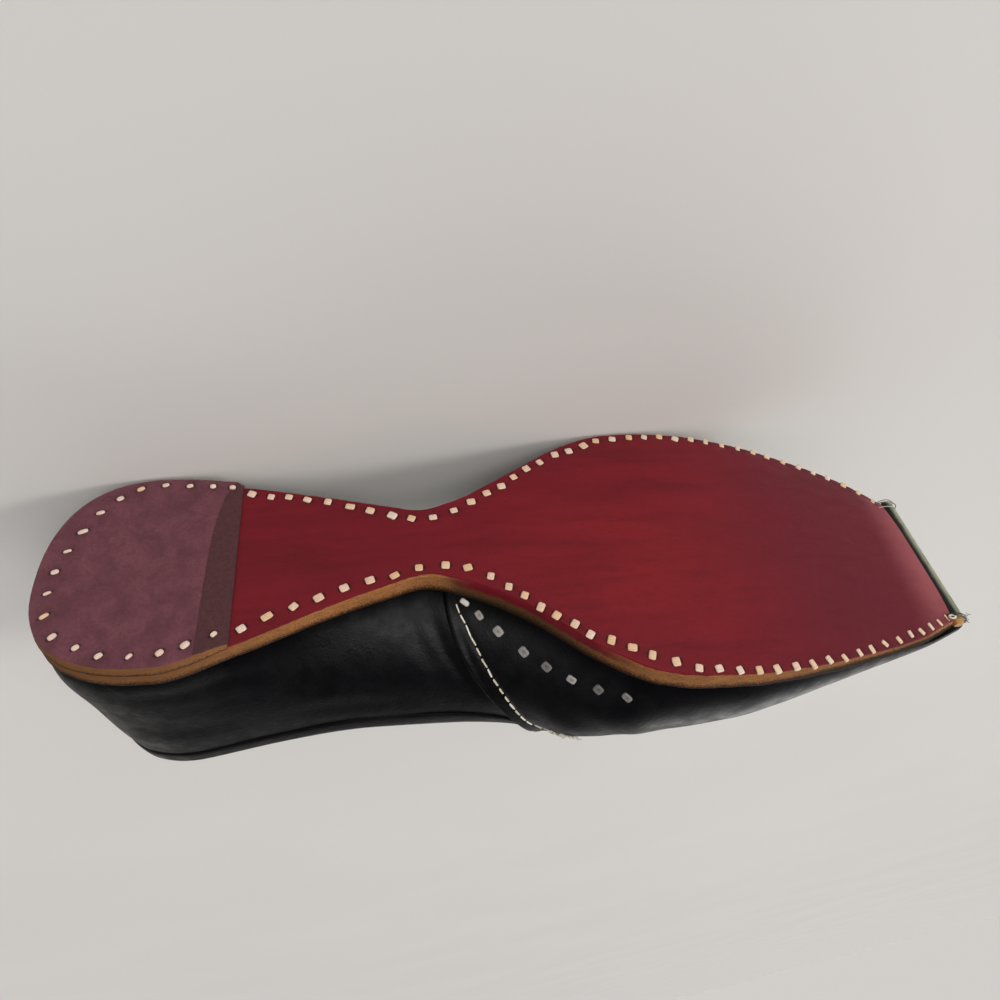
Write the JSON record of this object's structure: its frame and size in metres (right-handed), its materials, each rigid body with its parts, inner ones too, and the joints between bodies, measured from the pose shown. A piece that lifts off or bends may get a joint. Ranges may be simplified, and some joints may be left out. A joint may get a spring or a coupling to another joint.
{
  "type": "mojari shoe",
  "caption": "Square-toed black leather mojari slip-on with a stitched red leather sole, tan sole edge, low heel lift and open collar, lying on its outer side.",
  "frame": {"origin": "bottom centre of the bounding box, on the floor that the shoe lies on", "axes": "X along the shoe with the toe toward -X, the sole faces -Y, the inner side of the shoe faces +Z"},
  "size_m": [0.2826, 0.072, 0.0988],
  "materials": {
    "sole_leather": "red dyed leather, satin, with a bare tan edge",
    "lift_leather": "purple-brown dyed leather, matt",
    "insole_leather": "plain tan leather, matt",
    "upper_leather": "smooth black leather, soft sheen"
  },
  "bodies": {
    "root": {"outsole": "sole_leather", "heel_lift": "lift_leather", "insole": "insole_leather", "upper": "upper_leather", "vamp": "upper_leather", "collar_binding": "upper_leather", "toe_fold": "upper_leather"}
  },
  "joints": []
}
